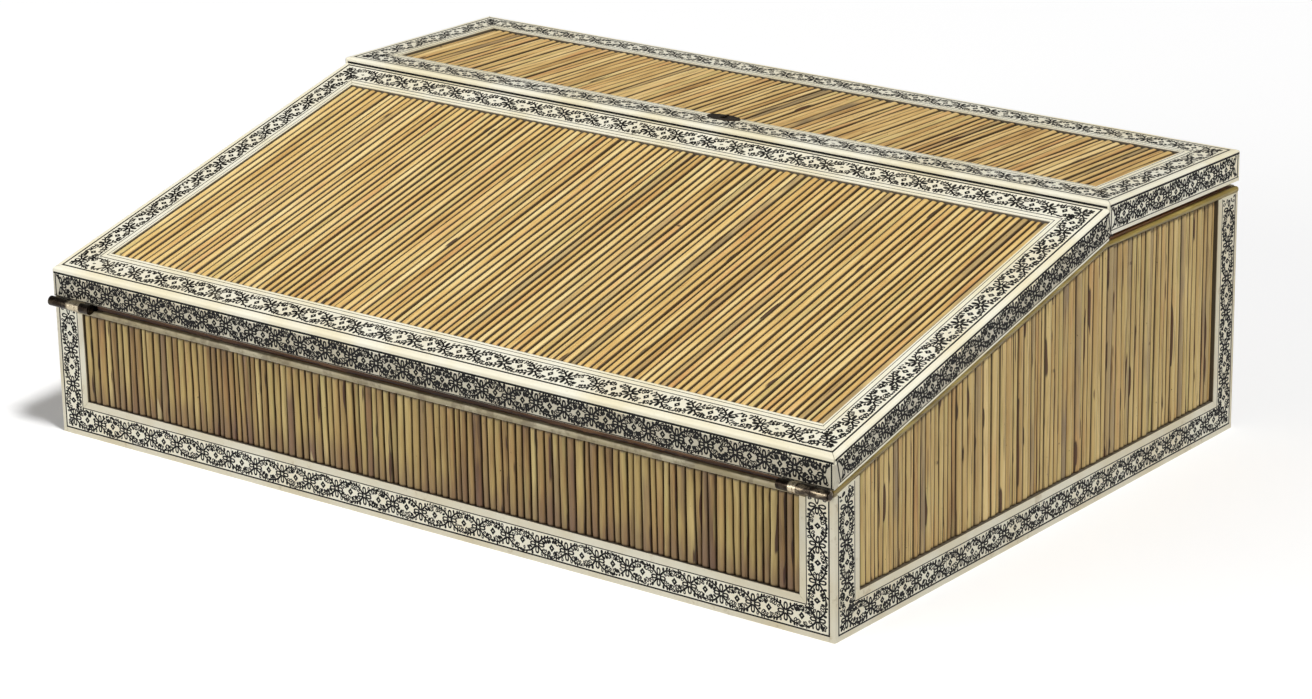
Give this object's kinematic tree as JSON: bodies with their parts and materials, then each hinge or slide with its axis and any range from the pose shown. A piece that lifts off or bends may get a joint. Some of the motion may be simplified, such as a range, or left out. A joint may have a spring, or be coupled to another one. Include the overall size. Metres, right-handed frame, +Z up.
{
  "type": "writing slope",
  "caption": "Table-top writing slope: a wedge-shaped box with a hinged sloping flap over a paper well and a hinged lid over a till, faced in reeds and engraved bone bands.",
  "frame": {"origin": "centre of the bounding box's footprint, on the surface the box stands on", "axes": "+X to the right along the ridge, +Y from the low front to the back, +Z up"},
  "size_m": [0.4202, 0.3094, 0.1286],
  "materials": {
    "reeds": "split reeds laid side by side, smooth skin, straw to grey-brown",
    "bone_engraved": "polished bone with a floral scroll engraved and filled in black",
    "bone_plain": "polished plain bone, cream",
    "rim_wood": "worn olive-brown hardwood edge",
    "lipping_wood": "dark worn hardwood",
    "box_wood": "oiled hardwood board",
    "till_wood": "oiled fine-grained hardwood",
    "writing_leather": "worn dark red leather lining",
    "hinge_steel": "tarnished white metal",
    "screw_steel": "dull steel",
    "lock_brass": "dull brass",
    "escutcheon_metal": "dark tarnished metal"
  },
  "bodies": {
    "base": {"bottom_board": "box_wood", "front_wall": "box_wood", "back_wall": "box_wood", "left_wall": "box_wood", "right_wall": "box_wood", "ridge_partition": "box_wood", "front_plaques": "bone_engraved", "back_plaques": "bone_engraved", "left_plaques": "bone_engraved", "right_plaques": "bone_engraved", "front_reeds": "reeds", "back_reeds": "reeds", "left_reeds": "reeds", "right_reeds": "reeds", "base_inner_fillets": "bone_plain", "base_bottom_beads": "bone_plain", "base_corner_beads": "bone_plain", "left_rim_moulding": "rim_wood", "right_rim_moulding": "rim_wood", "front_top_strip": "bone_plain", "back_top_strip": "bone_plain", "till_bearers": "till_wood", "till_floor": "till_wood", "till_front_liner": "till_wood", "till_back_liner": "till_wood", "till_left_liner": "till_wood", "till_right_liner": "till_wood", "till_left_divider": "till_wood", "till_right_divider": "till_wood", "till_long_divider": "till_wood", "pen_tray_ledges": "till_wood", "pen_tray": "till_wood", "hinge_base_leaves": "hinge_steel", "base_hinge_screws": "screw_steel", "hinge_pins": "hinge_steel"},
    "flap": {"flap_board": "box_wood", "flap_beads": "bone_plain", "flap_plaques": "bone_engraved", "flap_inner_fillets": "bone_plain", "flap_reeds": "reeds", "flap_edge_plaques": "bone_engraved", "flap_foot_strips": "bone_plain", "flap_lipping": "lipping_wood", "writing_surface": "writing_leather", "strike_plate": "lock_brass", "flap_screws": "screw_steel", "flap_hinge_leaves": "hinge_steel"},
    "lid": {"lid_board": "box_wood", "lid_beads": "bone_plain", "lid_plaques": "bone_engraved", "lid_inner_fillets": "bone_plain", "lid_reeds": "reeds", "lid_edge_plaques": "bone_engraved", "lid_foot_strips": "bone_plain", "lock_case": "lock_brass", "escutcheon": "escutcheon_metal", "lid_screws": "screw_steel", "lid_hinge_leaves": "hinge_steel"},
    "bolt": {"lock_bolt": "lock_brass"}
  },
  "joints": [
    {"name": "flap_hinge", "type": "hinge", "parent": "base", "child": "flap", "pos_m": [0, -0.1525, 0.06155], "axis": [1, 0, 0], "range_deg": [0, 178.5]},
    {"name": "lid_hinge", "type": "hinge", "parent": "base", "child": "lid", "pos_m": [0, 0.1525, 0.11161], "axis": [-1, 0, 0], "range_deg": [0, 105]},
    {"name": "bolt_slide", "type": "slide", "parent": "lid", "child": "bolt", "axis": [0, -1, 0], "range_m": [0, 0.0045]}
  ]
}
